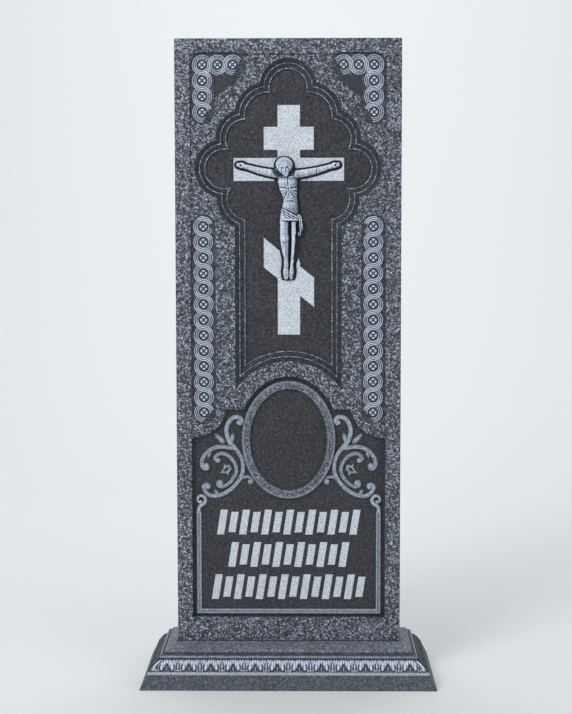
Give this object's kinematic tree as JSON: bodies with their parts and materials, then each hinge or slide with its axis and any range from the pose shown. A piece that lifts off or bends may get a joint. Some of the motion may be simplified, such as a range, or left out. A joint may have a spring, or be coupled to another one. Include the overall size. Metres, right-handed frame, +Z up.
{
  "type": "grave memorial stele",
  "caption": "Upright cast-stone grave memorial stele with a crucifix in a lobed niche, an oval portrait ring over a stroke-filled panel, and a moulded plinth with a leaf band",
  "frame": {"origin": "middle of the plinth's underside, on the ground", "axes": "X across the front, the carved front faces -Y, Z up"},
  "size_m": [0.536, 0.262, 1.17],
  "materials": {
    "stele_stone": "speckled grey, polished in the recesses",
    "plinth_stone": "speckled dark grey, semi-matt"
  },
  "bodies": {
    "root": {"stele": "stele_stone", "plinth": "plinth_stone"}
  },
  "joints": []
}
